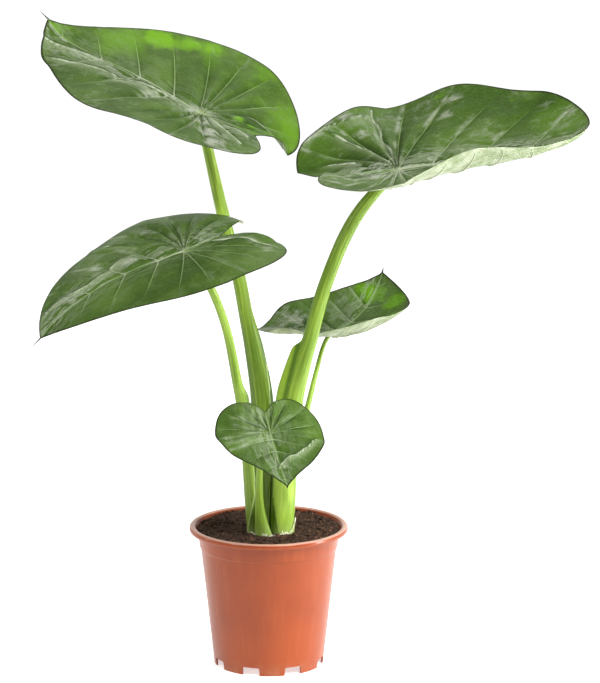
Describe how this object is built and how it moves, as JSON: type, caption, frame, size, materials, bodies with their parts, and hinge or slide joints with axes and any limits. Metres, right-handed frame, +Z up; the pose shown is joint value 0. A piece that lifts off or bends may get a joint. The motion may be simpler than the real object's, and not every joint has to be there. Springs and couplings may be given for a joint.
{
  "type": "potted alocasia house plant",
  "caption": "Large-leaved house plant with long curved stalks and broad heart-shaped blades, standing in a round tapered nursery pot with a rolled rim and a notched foot.",
  "frame": {"origin": "on the table, in the middle of the pot's underside, on the pot's axis", "axes": "+Z up along the pot's axis, -Y towards the front of the plant, +X to the right as seen from the front"},
  "size_m": [0.6502, 0.4398, 0.7702],
  "materials": {
    "pot_plastic": "satin terracotta-coloured plastic",
    "peat": "dark crumbly moist peat",
    "old_sheath": "dry papery pale sheath",
    "stalk_skin": "smooth satin light green",
    "blade_skin": "glossy dark green above, matt pale green below"
  },
  "bodies": {
    "root": {"pot": "pot_plastic", "soil": "peat", "crown": "old_sheath", "stalk_e": "stalk_skin", "stalk_b": "stalk_skin", "stalk_c": "stalk_skin", "stalk_a": "stalk_skin", "stalk_d": "stalk_skin", "blade_a": "blade_skin", "blade_b": "blade_skin", "blade_c": "blade_skin", "blade_d": "blade_skin", "blade_e": "blade_skin"}
  },
  "joints": []
}
